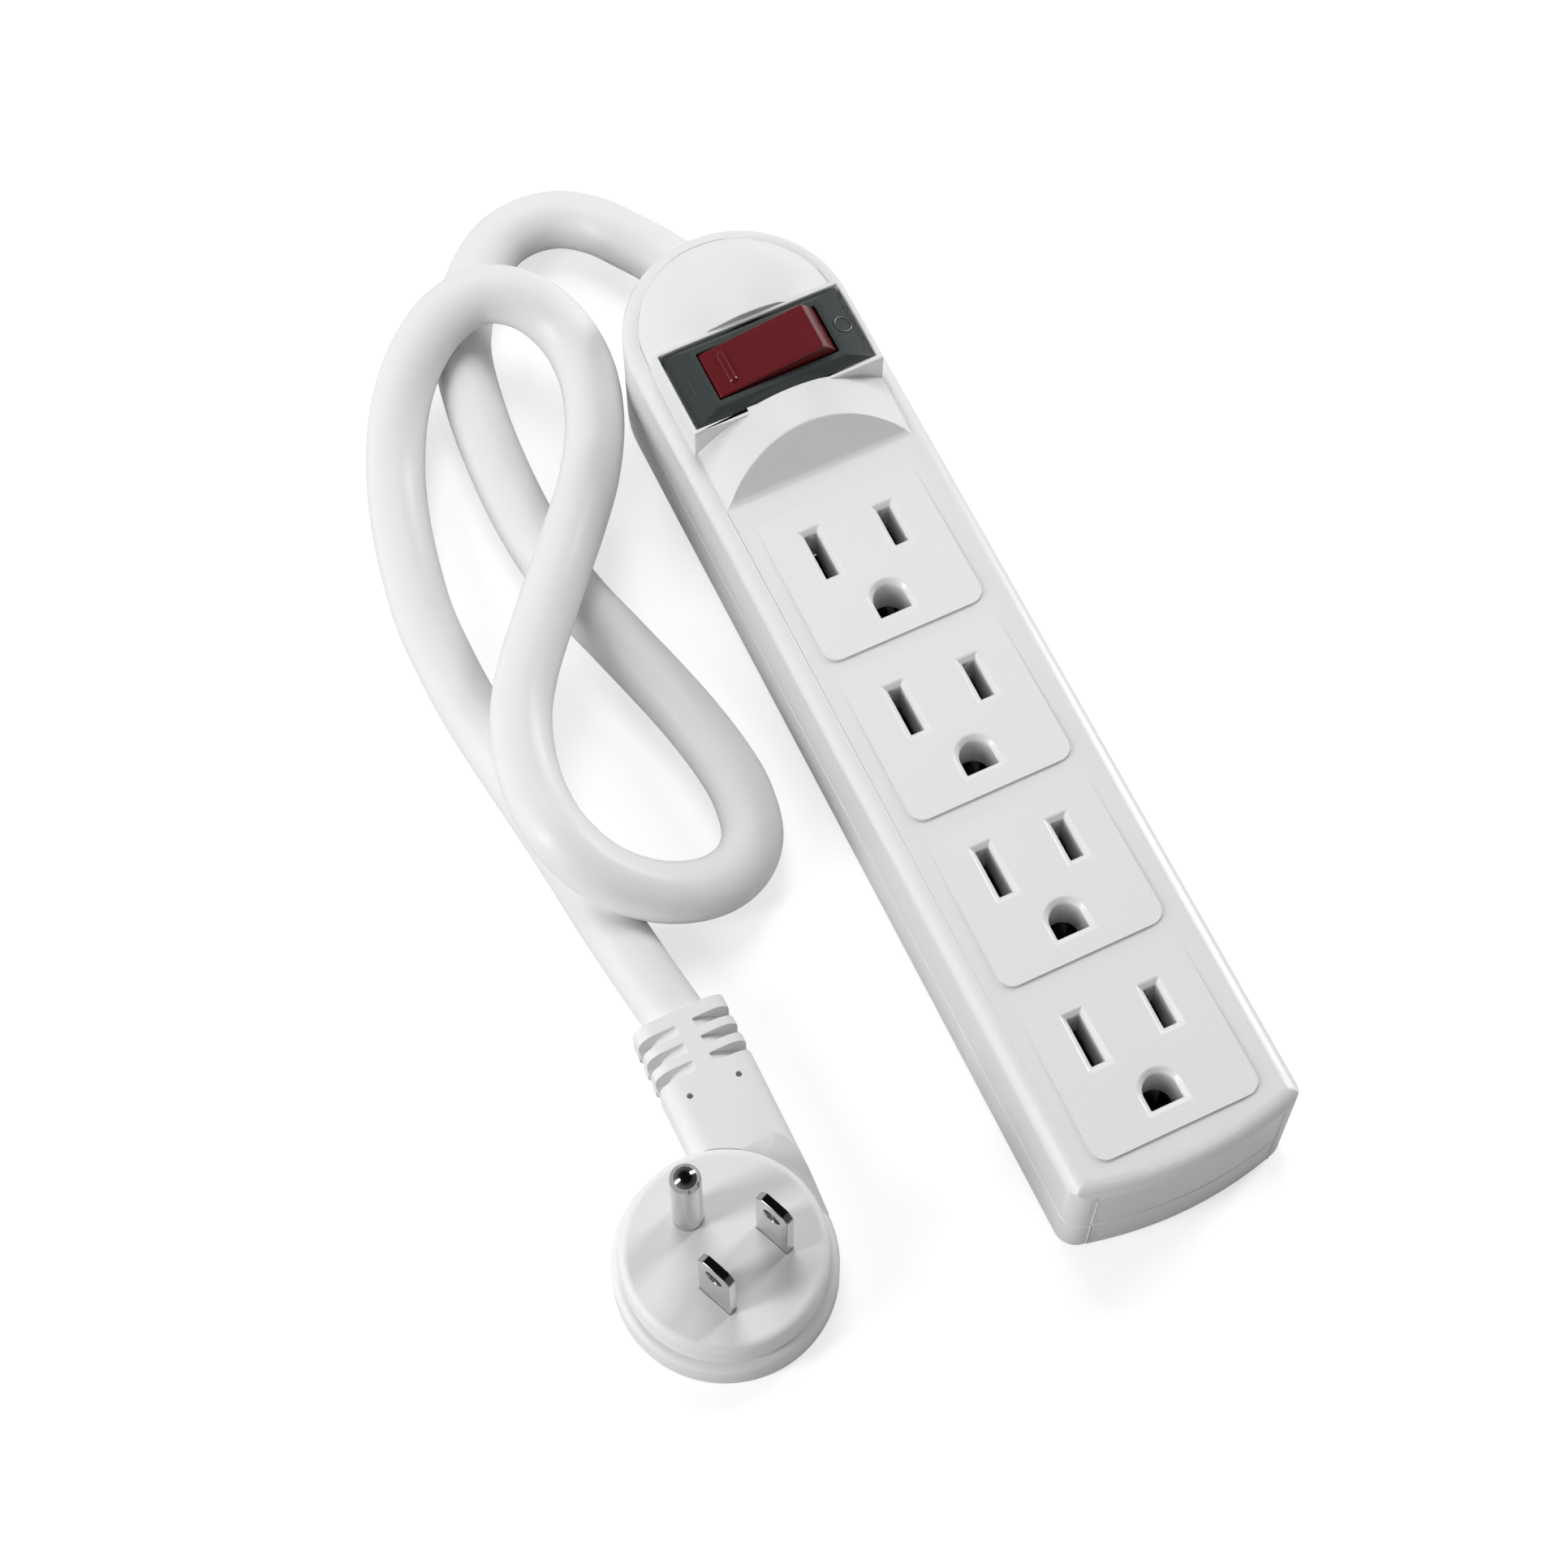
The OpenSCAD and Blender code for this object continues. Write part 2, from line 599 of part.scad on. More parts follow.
module plug_body() color("white") on_plug() difference() {
  union() {
    rotate_extrude() {
      square([plug_r, step_h - 1.2]);
      square([plug_r - 1.2, step_h]);
      translate([plug_r - 1.2, step_h - 1.2]) circle(1.2);
    }
    difference() {
      translate([neck_x, 0, 0]) neck_bar(neck_w, neck_h, neck_r, neck_end);
      translate([0, 0, step_h]) cylinder(r = face_r, h = 20);
      translate([neck_x, ramp_y, neck_h]) rotate([ramp, 0, 0]) block([-20, -40, 0], [20, 0, 30]);
    }
  }
  for (k = [0 : 2], side = [-1, 1], z = [0, 1]) neck_slot(neck_end - 2.2 - 3.15 * k, side, z);
  for (side = [-1, 1]) translate([neck_x + side * 4.15, neck_end - 13.6, neck_h - 1.5]) cylinder(r = 0.5, h = 3);
  for (side = [0, 1]) rotate([0, 0, pin_turn]) translate([side ? blade_x : -blade_x, -pin_line_at, step_h - root_len])
    block([-blade_t / 2, -blade_w / 2, 0], [blade_t / 2, blade_w / 2, root_len + 1]);
  rotate([0, 0, pin_turn]) translate([0, earth_pin_at, step_h - root_len]) cylinder(r = earth_root_r, h = root_len + 1);
  translate([neck_x, neck_end - 6, neck_h / 2]) rotate([-90, 0, 0]) cylinder(r = cord_d / 2, h = 10);
}

// One cross slot of the flexible end, open to the side and to the top or underside
module neck_slot(y, side, under) {
  core = cord_d / 2 + 0.6;
  translate([neck_x, y - 0.85, neck_h / 2]) mirror([side < 0 ? 1 : 0, 0, 0]) mirror([0, 0, under]) difference() {
    block([1.45, -0.85, 0.6], [20, 0.85, 20]);
    rod_y(core, 4);
  }
}

module plug_face() color("white") difference() {
  on_plug() rotate_extrude() {
    translate([0, step_h]) square([face_r, face_h - step_h - 1.4]);
    translate([0, step_h]) square([face_r - 1.4, face_h - step_h]);
    translate([face_r - 1.4, face_h - 1.4]) circle(1.4);
  }
  on_pins() {
    for (side = [-1, 1]) translate([side * blade_x, -pin_line_at, 0])
      block([-blade_t / 2, -blade_w / 2, 0], [blade_t / 2, blade_w / 2, 30]);
    translate([0, earth_pin_at, 0]) cylinder(r = earth_root_r, h = 30);
  }
}

module blade(side) on_pins() translate([side * blade_x, -pin_line_at, step_h - root_len]) intersection() {
  length = face_h - step_h + root_len + blade_len;
  difference() {
    block([-blade_t / 2, -blade_w / 2, 0], [blade_t / 2, blade_w / 2, length]);
    translate([0, 0, length - 4.2]) rotate([0, 90, 0]) cylinder(r = 1.6, h = 10, center = true);
  }
  rotate([90, 0, 90]) linear_extrude(10, center = true)
    polygon([[-blade_w / 2, 0], [blade_w / 2, 0], [blade_w / 2, length - 1.3], [blade_w / 2 - 1.1, length],
      [1.1 - blade_w / 2, length], [-blade_w / 2, length - 1.3]]);
}

module live_blade() color("silver") blade(1);

module neutral_blade() color("silver") blade(-1);

module earth_pin() color("silver") on_pins() translate([0, earth_pin_at, step_h - root_len]) rotate_extrude() {
  tip = face_h - step_h + root_len + earth_pin_len;
  square([earth_root_r, tip - earth_pin_r]);
  translate([0, face_h - step_h + root_len]) square([earth_pin_r, earth_pin_len - earth_pin_r]);
  intersection() {
    translate([0, tip - earth_pin_r]) circle(earth_pin_r);
    translate([0, tip - earth_pin_r]) square(earth_pin_r);
  }
}

top_cover();
bottom_cover();
housing_screws();
switch_case();
rocker();
rocker_pin();
rocker_plunger();
rocker_spring();
contact_arm();
line_terminal();
load_terminal();
live_bus();
neutral_bus();
earth_bus();
live_wire();
switched_wire();
neutral_wire();
earth_wire();
cord_bushing();
cord();
plug_body();
plug_face();
live_blade();
neutral_blade();
earth_pin();
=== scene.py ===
import bmesh
import bpy
import json
import math
import numpy as np
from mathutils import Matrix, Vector


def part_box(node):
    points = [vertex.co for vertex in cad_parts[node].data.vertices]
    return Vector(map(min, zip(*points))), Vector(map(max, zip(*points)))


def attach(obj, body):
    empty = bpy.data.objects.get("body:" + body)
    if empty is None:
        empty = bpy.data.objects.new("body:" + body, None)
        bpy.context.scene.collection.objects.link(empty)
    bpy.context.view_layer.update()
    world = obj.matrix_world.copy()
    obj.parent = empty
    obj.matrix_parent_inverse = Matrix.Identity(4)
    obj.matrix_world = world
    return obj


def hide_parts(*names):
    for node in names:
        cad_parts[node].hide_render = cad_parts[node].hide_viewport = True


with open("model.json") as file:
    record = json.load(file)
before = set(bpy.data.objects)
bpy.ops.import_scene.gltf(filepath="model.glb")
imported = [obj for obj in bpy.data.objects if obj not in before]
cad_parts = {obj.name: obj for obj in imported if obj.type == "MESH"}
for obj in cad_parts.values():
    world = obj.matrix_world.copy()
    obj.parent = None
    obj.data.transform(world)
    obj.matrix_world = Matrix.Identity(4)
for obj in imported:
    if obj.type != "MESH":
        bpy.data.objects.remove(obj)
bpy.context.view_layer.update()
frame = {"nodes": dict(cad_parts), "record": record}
print("frame loaded")

mm = 0.001
lowStrip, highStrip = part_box("bottom_cover")  # the housing stands on z = 0, centred on the origin

cameraFacts = {
    "place": (-0.12515, -0.20817, 0.52263),
    "turn": (24.062, 0.0, -25.576),
    "lens": 80.34,
    "sensor": 36.0,
    "clip": (0.01, 20.0),
}


def addCamera():
    cameraData = bpy.data.cameras.new("camera")
    cameraData.lens = cameraFacts["lens"]
    cameraData.sensor_width = cameraFacts["sensor"]
    cameraData.clip_start, cameraData.clip_end = cameraFacts["clip"]
    camera = bpy.data.objects.new("camera", cameraData)
    camera.location = cameraFacts["place"]
    camera.rotation_euler = [math.radians(a) for a in cameraFacts["turn"]]
    bpy.context.collection.objects.link(camera)
    bpy.context.scene.camera = camera


addCamera()

lightFacts = {
    "skyColour": (1.0, 1.0, 1.0),
    "skyStrength": 0.82,
    "skyInGloss": 0.2,
    "mirrored": ("rightRim", "leftSide"),  # the lamps that show in glossy surfaces
    "darkOverhead": 0.04,  # how much of the sky is left straight above
    "heightBand": (0.25, 0.80),  # it fades from this height to this one
    "brightSide": (-0.75, 0.45, 0.35),  # the sky is brightest towards here
    "sideLevels": (0.35, 1.2),  # its levels away from there and towards there
    # name: place, aim, width, height, watts
    "farKey": ((0.1, 0.6, 0.95), (-0.02, 0.02, 0.0), 0.5, 0.5, 4.8),
    "nearFill": ((-0.35, -0.95, 0.8), (0.0, 0.0, 0.0), 0.6, 0.5, 0.3),
    "rightRim": ((0.9, 0.25, 0.45), (0.0, 0.0, 0.01), 0.25, 0.8, 6.0),
    "leftSide": ((-0.95, 0.0, 0.5), (0.0, 0.0, 0.01), 0.25, 0.8, 6.0),
}


def addSky():
    # a pale sky, brighter to one side and dimmer overhead, mixed by the direction's own height and side
    world = bpy.data.worlds.new("studio")
    bpy.context.scene.world = world
    world.use_nodes = True
    nodes, links = world.node_tree.nodes, world.node_tree.links
    back = nodes["Background"]
    where = nodes.new("ShaderNodeTexCoord")
    split = nodes.new("ShaderNodeSeparateXYZ")
    links.new(where.outputs["Generated"], split.inputs[0])
    height = nodes.new("ShaderNodeMapRange")
    height.inputs["From Min"].default_value, height.inputs["From Max"].default_value = lightFacts["heightBand"]
    height.inputs["To Min"].default_value = 1.0
    height.inputs["To Max"].default_value = lightFacts["darkOverhead"]
    height.interpolation_type = "SMOOTHSTEP"
    links.new(split.outputs["Z"], height.inputs["Value"])
    side = nodes.new("ShaderNodeVectorMath")
    side.operation = "DOT_PRODUCT"
    side.inputs[1].default_value = Vector(lightFacts["brightSide"]).normalized()
    links.new(where.outputs["Generated"], side.inputs[0])
    lean = nodes.new("ShaderNodeMapRange")
    lean.inputs["From Min"].default_value = -1.0
    lean.inputs["From Max"].default_value = 1.0
    lean.inputs["To Min"].default_value, lean.inputs["To Max"].default_value = lightFacts["sideLevels"]
    links.new(side.outputs["Value"], lean.inputs["Value"])
    both = nodes.new("ShaderNodeMath")
    both.operation = "MULTIPLY"
    links.new(height.outputs[0], both.inputs[0])
    links.new(lean.outputs[0], both.inputs[1])
    level = nodes.new("ShaderNodeMath")
    level.operation = "MULTIPLY"
    level.inputs[1].default_value = lightFacts["skyStrength"]
    links.new(both.outputs[0], level.inputs[0])
    # mirrored in gloss the sky is much dimmer, so polished pins show dark tops with a pale rim
    ray = nodes.new("ShaderNodeLightPath")
    dim = nodes.new("ShaderNodeMapRange")
    dim.inputs["To Min"].default_value = 1.0
    dim.inputs["To Max"].default_value = lightFacts["skyInGloss"]
    links.new(ray.outputs["Is Glossy Ray"], dim.inputs["Value"])
    seen = nodes.new("ShaderNodeMath")
    seen.operation = "MULTIPLY"
    links.new(level.outputs[0], seen.inputs[0])
    links.new(dim.outputs[0], seen.inputs[1])
    back.inputs["Color"].default_value = (*lightFacts["skyColour"], 1.0)
    links.new(seen.outputs[0], back.inputs["Strength"])


def addLamps():
    for name in ("farKey", "nearFill", "rightRim", "leftSide"):
        place, aim, width, height, watts = lightFacts[name]
        lampData = bpy.data.lights.new(name, "AREA")
        lampData.shape = "RECTANGLE"
        lampData.size, lampData.size_y = width, height
        lampData.energy = watts
        lamp = bpy.data.objects.new(name, lampData)
        lamp.location = place
        lamp.rotation_euler = (Vector(aim) - Vector(place)).to_track_quat("-Z", "Y").to_euler()
        lamp.visible_glossy = name in lightFacts["mirrored"]
        bpy.context.collection.objects.link(lamp)


addSky()
addLamps()
bpy.context.scene.view_settings.view_transform = "Standard"
print("camera and lights placed")


def gridFaces(rows, cols, wrapRows=False, wrapCols=False, flip=False):
    # quad i, j joins points (i, j), (i+1, j), (i+1, j+1), (i, j+1) of a rows x cols grid
    rowCount = rows if wrapRows else rows - 1
    colCount = cols if wrapCols else cols - 1
    i, j = np.meshgrid(np.arange(rowCount), np.arange(colCount), indexing="ij")
    iNext, jNext = (i + 1) % rows, (j + 1) % cols
    quads = np.stack([i * cols + j, iNext * cols + j, iNext * cols + jNext, i * cols + jNext], -1)
    quads = quads.reshape(-1, 4)
    return quads[:, ::-1] if flip else quads


def addPiece(name, points, faces):
    mesh = bpy.data.meshes.new(name)
    mesh.from_pydata([tuple(p) for p in np.asarray(points).reshape(-1, 3).tolist()], [],
                     [[int(v) for v in f] for f in faces])
    mesh.validate()
    mesh.polygons.foreach_set("use_smooth", np.ones(len(mesh.polygons), bool))
    piece = bpy.data.objects.new(name, mesh)
    bpy.context.collection.objects.link(piece)
    return piece


def smoothPath(points, steps):
    # a Catmull-Rom curve: each span blends its four nearest points with cubic weights
    p = np.asarray(points, float)
    ends = np.vstack([2 * p[:1] - p[1:2], p, 2 * p[-1:] - p[-2:-1]])
    t = np.arange(steps)[None, :, None] / steps
    a, b, c, d = (ends[k:len(ends) - 3 + k, None] for k in range(4))
    spans = 0.5 * (2 * b + (c - a) * t + (2 * a - 5 * b + 4 * c - d) * t ** 2
                   + (3 * b - a - 3 * c + d) * t ** 3)
    return np.vstack([spans.reshape(-1, 3), p[-1:]])


def evenPath(points, spacing):
    # the same line with its points a constant distance apart
    run = np.concatenate([[0.0], np.cumsum(np.linalg.norm(np.diff(points, axis=0), axis=1))])
    count = max(2, int(round(run[-1] / spacing)) + 1)
    at = np.linspace(0.0, run[-1], count)
    return np.stack([np.interp(at, run, points[:, k]) for k in range(3)], 1)


def tubeRings(path, radii, sides):
    # ring k is a circle of radius radii[k] square to the path, its side vector kept level
    ahead = np.gradient(path, axis=0)
    ahead /= np.linalg.norm(ahead, axis=1, keepdims=True)
    side = np.cross(np.array([0.0, 0.0, 1.0]), ahead)
    side /= np.linalg.norm(side, axis=1, keepdims=True)
    up = np.cross(ahead, side)
    angle = np.linspace(0, 2 * math.pi, sides, endpoint=False)
    ring = (side[:, None] * np.cos(angle)[None, :, None] + up[:, None] * np.sin(angle)[None, :, None])
    return path[:, None] + np.asarray(radii)[:, None, None] * ring


def socketGroup(name, inputs, outputs):
    # an empty node group with its named sockets, and its two end nodes
    group = bpy.data.node_groups.new(name, "ShaderNodeTree")
    for label, kind, value in inputs:
        made = group.interface.new_socket(label, in_out="INPUT", socket_type=kind)
        if value is not None:
            made.default_value = value
    for label, kind in outputs:
        group.interface.new_socket(label, in_out="OUTPUT", socket_type=kind)
    return group, group.nodes.new("NodeGroupInput"), group.nodes.new("NodeGroupOutput")


def mathNode(group, operation, first, second):
    node = group.nodes.new("ShaderNodeMath")
    node.operation = operation
    for index, value in enumerate((first, second)):
        if isinstance(value, (int, float)):
            node.inputs[index].default_value = value
        else:
            group.links.new(value, node.inputs[index])
    return node.outputs[0]


def noiseNode(group, vector, scale, detail=3.0):
    node = group.nodes.new("ShaderNodeTexNoise")
    node.inputs["Detail"].default_value = detail
    node.inputs["Roughness"].default_value = 0.5
    group.links.new(vector, node.inputs["Vector"])
    if isinstance(scale, (int, float)):
        node.inputs["Scale"].default_value = scale
    else:
        group.links.new(scale, node.inputs["Scale"])
    return node.outputs["Fac"]


def mixColour(group, factor, first, second, blend="MIX"):
    node = group.nodes.new("ShaderNodeMix")
    node.data_type = "RGBA"
    node.blend_type = blend
    for label, value in (("Factor", factor), ("A", first), ("B", second)):
        socket = node.inputs[label]
        if isinstance(value, (int, float, tuple)):
            socket.default_value = value
        else:
            group.links.new(value, socket)
    return node.outputs["Result"]


skinMarks = {"slowScale": 22.0, "speckScale": 900.0, "flowScale": 60.0, "slowGloss": 0.12, "speckGloss": 0.03}


def makeMouldedSkin():
    # moulded plastic: a slow drift of tone, fine speckle in the gloss, flow ripples and a fine orange-peel height
    group, gIn, gOut = socketGroup("mouldedSkin", [
        ("Vector", "NodeSocketVector", None), ("Colour", "NodeSocketColor", (0.8, 0.8, 0.8, 1)),
        ("Tint", "NodeSocketColor", (0.75, 0.77, 0.78, 1)), ("Roughness", "NodeSocketFloat", 0.3),
        ("Drift", "NodeSocketFloat", 0.35), ("Peel", "NodeSocketFloat", 1.0), ("Grain", "NodeSocketFloat", 2200.0),
        ("Ripple", "NodeSocketFloat", 0.4)],
        [("Colour", "NodeSocketColor"), ("Roughness", "NodeSocketFloat"), ("Height", "NodeSocketFloat")])
    vector = gIn.outputs["Vector"]
    slow = noiseNode(group, vector, skinMarks["slowScale"], 4.0)
    speck = noiseNode(group, vector, skinMarks["speckScale"], 2.0)
    drift = mathNode(group, "MULTIPLY", slow, gIn.outputs["Drift"])
    colour = mixColour(group, drift, gIn.outputs["Colour"], gIn.outputs["Tint"])
    group.links.new(colour, gOut.inputs["Colour"])
    rough = gIn.outputs["Roughness"]
    for mark, depth in ((slow, skinMarks["slowGloss"]), (speck, skinMarks["speckGloss"])):
        swing = mathNode(group, "MULTIPLY", mathNode(group, "SUBTRACT", mark, 0.5), depth)
        rough = mathNode(group, "ADD", rough, swing)
    group.links.new(rough, gOut.inputs["Roughness"])
    peel = mathNode(group, "MULTIPLY", noiseNode(group, vector, gIn.outputs["Grain"], 2.0), gIn.outputs["Peel"])
    flow = mathNode(group, "MULTIPLY", noiseNode(group, vector, skinMarks["flowScale"], 2.0), gIn.outputs["Ripple"])
    group.links.new(mathNode(group, "ADD", peel, flow), gOut.inputs["Height"])
    return group


dustMarks = {"patchScale": 90.0, "patchBand": (0.35, 0.85), "highShare": 0.25}


def makeEdgeDust():
    # dust and handling marks: broken patches of a darker tone, denser low on the walls
    group, gIn, gOut = socketGroup("edgeDust", [
        ("Vector", "NodeSocketVector", None), ("Colour", "NodeSocketColor", (0.8, 0.8, 0.8, 1)),
        ("Dust", "NodeSocketColor", (0.5, 0.49, 0.47, 1)), ("Amount", "NodeSocketFloat", 0.2),
        ("Floor", "NodeSocketFloat", 0.004)], [("Colour", "NodeSocketColor"), ("Mask", "NodeSocketFloat")])
    split = group.nodes.new("ShaderNodeSeparateXYZ")
    group.links.new(gIn.outputs["Vector"], split.inputs[0])
    low = group.nodes.new("ShaderNodeMapRange")
    low.inputs["From Min"].default_value = 0.0
    low.inputs["To Min"].default_value = 1.0
    low.inputs["To Max"].default_value = dustMarks["highShare"]
    group.links.new(split.outputs["Z"], low.inputs["Value"])
    group.links.new(gIn.outputs["Floor"], low.inputs["From Max"])
    patch = group.nodes.new("ShaderNodeMapRange")
    patch.inputs["From Min"].default_value, patch.inputs["From Max"].default_value = dustMarks["patchBand"]
    blot = noiseNode(group, gIn.outputs["Vector"], dustMarks["patchScale"])
    group.links.new(blot, patch.inputs["Value"])
    mask = mathNode(group, "MULTIPLY", mathNode(group, "MULTIPLY", low.outputs[0], patch.outputs[0]),
                    gIn.outputs["Amount"])
    group.links.new(mixColour(group, mask, gIn.outputs["Colour"], gIn.outputs["Dust"]), gOut.inputs["Colour"])
    group.links.new(mask, gOut.inputs["Mask"])
    return group


metalMarks = {"lineScale": 5200.0, "toneScale": 260.0, "toneShare": 0.5, "lineGloss": 0.12}


def makeDrawnMetal():
    # drawn or stamped metal: fine lines along one axis in gloss and height, over a broad random drift of tone
    group, gIn, gOut = socketGroup("drawnMetal", [
        ("Vector", "NodeSocketVector", None), ("Colour", "NodeSocketColor", (0.7, 0.7, 0.7, 1)),
        ("Shade", "NodeSocketColor", (0.5, 0.5, 0.5, 1)), ("Roughness", "NodeSocketFloat", 0.2),
        ("Stretch", "NodeSocketVector", (1.0, 1.0, 0.04))],
        [("Colour", "NodeSocketColor"), ("Roughness", "NodeSocketFloat"), ("Height", "NodeSocketFloat")])
    scaled = group.nodes.new("ShaderNodeVectorMath")
    scaled.operation = "MULTIPLY"
    group.links.new(gIn.outputs["Vector"], scaled.inputs[0])
    group.links.new(gIn.outputs["Stretch"], scaled.inputs[1])
    line = noiseNode(group, scaled.outputs[0], metalMarks["lineScale"])
    tone = noiseNode(group, gIn.outputs["Vector"], metalMarks["toneScale"])
    share = mathNode(group, "MULTIPLY", tone, metalMarks["toneShare"])
    colour = mixColour(group, share, gIn.outputs["Colour"], gIn.outputs["Shade"])
    group.links.new(colour, gOut.inputs["Colour"])
    swing = mathNode(group, "MULTIPLY", mathNode(group, "SUBTRACT", line, 0.5), metalMarks["lineGloss"])
    group.links.new(mathNode(group, "ADD", gIn.outputs["Roughness"], swing), gOut.inputs["Roughness"])
    group.links.new(line, gOut.inputs["Height"])
    return group


mouldedSkin = makeMouldedSkin()
edgeDust = makeEdgeDust()
drawnMetal = makeDrawnMetal()


finishFacts = {
    "plasticRelief": 0.00004,  # bump distances, in metres
    "metalRelief": 0.00002,
    "metalBump": 0.15,
    "coatRough": 0.12,
    "jacketStretch": (0.25, 1.0, 1.0),  # a drawn jacket's marks run along its length
}


def startMaterial(name):
    material = bpy.data.materials.new(name)
    material.use_nodes = True
    nodes, links = material.node_tree.nodes, material.node_tree.links
    return material, nodes, links, nodes["Principled BSDF"], nodes.new("ShaderNodeTexCoord")


def addGroup(nodes, group, values):
    node = nodes.new("ShaderNodeGroup")
    node.node_tree = group
    for label, value in values.items():
        node.inputs[label].default_value = value
    return node


def plasticMaterial(name, facts, alongPiece=False):
    # facts: two tones, gloss, how far they drift, three kinds of relief and their depth, dust, and a clear coat
    material, nodes, links, shader, where = startMaterial(name)
    source = where.outputs["UV"] if alongPiece else where.outputs["Object"]
    skin = addGroup(nodes, mouldedSkin, {
        "Colour": (*facts["colour"], 1), "Tint": (*facts["tint"], 1), "Roughness": facts["rough"],
        "Drift": facts["drift"], "Peel": facts["peel"], "Grain": facts["grain"], "Ripple": facts["ripple"]})
    if alongPiece:
        stretch = nodes.new("ShaderNodeMapping")
        stretch.inputs["Scale"].default_value = finishFacts["jacketStretch"]
        links.new(source, stretch.inputs["Vector"])
        source = stretch.outputs["Vector"]
    links.new(source, skin.inputs["Vector"])
    dust = addGroup(nodes, edgeDust, {"Amount": facts["dust"], "Dust": (*facts["dustColour"], 1)})
    links.new(where.outputs["Object"], dust.inputs["Vector"])
    links.new(skin.outputs["Colour"], dust.inputs["Colour"])
    links.new(dust.outputs["Colour"], shader.inputs["Base Color"])
    links.new(skin.outputs["Roughness"], shader.inputs["Roughness"])
    bump = nodes.new("ShaderNodeBump")
    bump.inputs["Strength"].default_value = facts["bump"]
    bump.inputs["Distance"].default_value = finishFacts["plasticRelief"]
    links.new(skin.outputs["Height"], bump.inputs["Height"])
    links.new(bump.outputs["Normal"], shader.inputs["Normal"])
    shader.inputs["IOR"].default_value = facts["ior"]
    shader.inputs["Coat Weight"].default_value = facts["coat"]
    shader.inputs["Coat Roughness"].default_value = finishFacts["coatRough"]
    return material


def metalMaterial(name, colour, shade, rough, stretch):
    material, nodes, links, shader, where = startMaterial(name)
    drawn = addGroup(nodes, drawnMetal, {"Colour": (*colour, 1), "Shade": (*shade, 1), "Roughness": rough,
                                         "Stretch": stretch})
    links.new(where.outputs["Object"], drawn.inputs["Vector"])
    links.new(drawn.outputs["Colour"], shader.inputs["Base Color"])
    links.new(drawn.outputs["Roughness"], shader.inputs["Roughness"])
    shader.inputs["Metallic"].default_value = 1.0
    bump = nodes.new("ShaderNodeBump")
    bump.inputs["Strength"].default_value = finishFacts["metalBump"]
    bump.inputs["Distance"].default_value = finishFacts["metalRelief"]
    links.new(drawn.outputs["Height"], bump.inputs["Height"])
    links.new(bump.outputs["Normal"], shader.inputs["Normal"])
    return material


whitePlastic = plasticMaterial("whitePlastic", {
    "colour": (0.80, 0.80, 0.80), "tint": (0.76, 0.765, 0.77), "rough": 0.30, "drift": 0.5, "peel": 0.6,
    "grain": 2600.0, "ripple": 0.9, "bump": 0.04, "dust": 0.05, "dustColour": (0.52, 0.52, 0.50), "ior": 1.5,
    "coat": 0.15})
whiteVinyl = plasticMaterial("whiteVinyl", {
    "colour": (0.83, 0.83, 0.83), "tint": (0.79, 0.795, 0.80), "rough": 0.46, "drift": 0.5, "peel": 0.8,
    "grain": 1500.0, "ripple": 1.2, "bump": 0.06, "dust": 0.06, "dustColour": (0.52, 0.52, 0.50), "ior": 1.45,
    "coat": 0.0})
cordVinyl = plasticMaterial("cordVinyl", {
    "colour": (0.82, 0.82, 0.82), "tint": (0.78, 0.785, 0.79), "rough": 0.42, "drift": 0.6, "peel": 0.8,
    "grain": 1100.0, "ripple": 1.4, "bump": 0.08, "dust": 0.07, "dustColour": (0.52, 0.52, 0.50), "ior": 1.47,
    "coat": 0.1}, alongPiece=True)
darkPlastic = plasticMaterial("darkPlastic", {
    "colour": (0.046, 0.056, 0.056), "tint": (0.060, 0.068, 0.064), "rough": 0.26, "drift": 0.4, "peel": 0.5,
    "grain": 3000.0, "ripple": 0.8, "bump": 0.03, "dust": 0.03, "dustColour": (0.12, 0.12, 0.115), "ior": 1.52,
    "coat": 0.3})
redPlastic = plasticMaterial("redPlastic", {
    "colour": (0.155, 0.010, 0.014), "tint": (0.10, 0.006, 0.010), "rough": 0.24, "drift": 0.8, "peel": 0.5,
    "grain": 3400.0, "ripple": 0.8, "bump": 0.06, "dust": 0.05, "dustColour": (0.2, 0.05, 0.05), "ior": 1.52,
    "coat": 0.8})
blackVinyl = plasticMaterial("blackVinyl", {
    "colour": (0.02, 0.02, 0.02), "tint": (0.035, 0.035, 0.035), "rough": 0.4, "drift": 0.5, "peel": 0.6,
    "grain": 2400.0, "ripple": 0.6, "bump": 0.2, "dust": 0.1, "dustColour": (0.1, 0.1, 0.1), "ior": 1.5,
    "coat": 0.1})
greenVinyl = plasticMaterial("greenVinyl", {
    "colour": (0.03, 0.26, 0.08), "tint": (0.02, 0.2, 0.06), "rough": 0.4, "drift": 0.5, "peel": 0.6,
    "grain": 2400.0, "ripple": 0.6, "bump": 0.2, "dust": 0.1, "dustColour": (0.1, 0.2, 0.1), "ior": 1.5,
    "coat": 0.1})
platedMetal = metalMaterial("platedMetal", (0.60, 0.60, 0.61), (0.48, 0.48, 0.50), 0.12, (1.0, 1.0, 0.05))
zincSteel = metalMaterial("zincSteel", (0.55, 0.55, 0.57), (0.36, 0.36, 0.38), 0.32, (1.0, 1.0, 1.0))
stripBrass = metalMaterial("stripBrass", (0.42, 0.31, 0.16), (0.26, 0.20, 0.12), 0.34, (1.0, 0.05, 1.0))
print("finishes made")


roundFacts = {
    "weld": 2e-6,  # points closer than this are one
    "flatAngle": 0.3,  # faces that turn less than this many degrees are joined
    "sharpAngle": 27,  # edges that turn more than this are rounded
    "tries": 6,
    "segments": 3,
    "normalWeight": 60,
}


def bodyOf(node):
    return [b for b, names in frame["record"]["behaviour"]["bodies"].items() if node in names][0]


